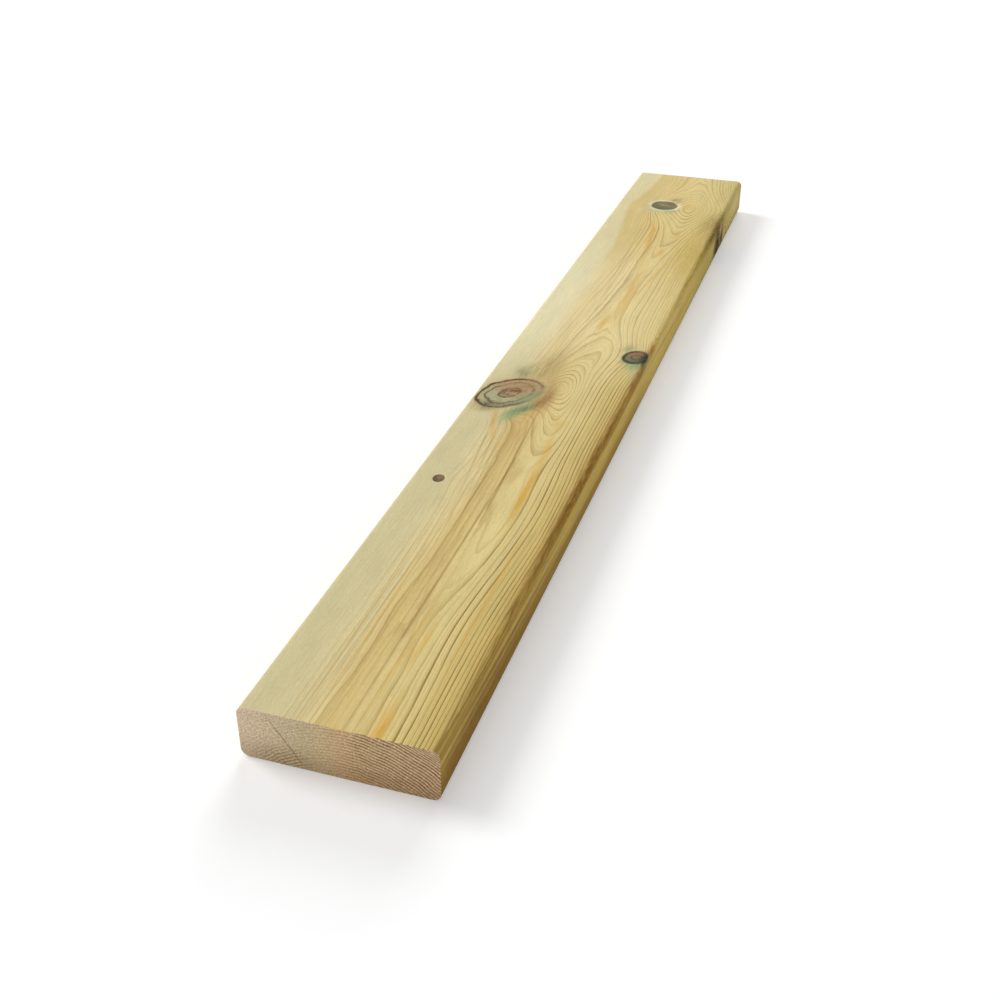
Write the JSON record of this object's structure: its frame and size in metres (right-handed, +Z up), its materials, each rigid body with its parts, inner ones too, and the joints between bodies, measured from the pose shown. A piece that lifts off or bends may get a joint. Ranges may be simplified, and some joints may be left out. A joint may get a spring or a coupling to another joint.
{
  "type": "decking board",
  "caption": "Smooth planed softwood decking board with four rounded long arrises and square sawn ends, laid wear face up on joists.",
  "frame": {"origin": "centre of the underside, where the board lies on its joists", "axes": "+X along the board's length, +Y across its width, +Z up out of the wear face"},
  "size_m": [0.8, 0.095, 0.028],
  "materials": {
    "treated_pine": "planed"
  },
  "bodies": {
    "root": {"decking_board": "treated_pine"}
  },
  "joints": []
}
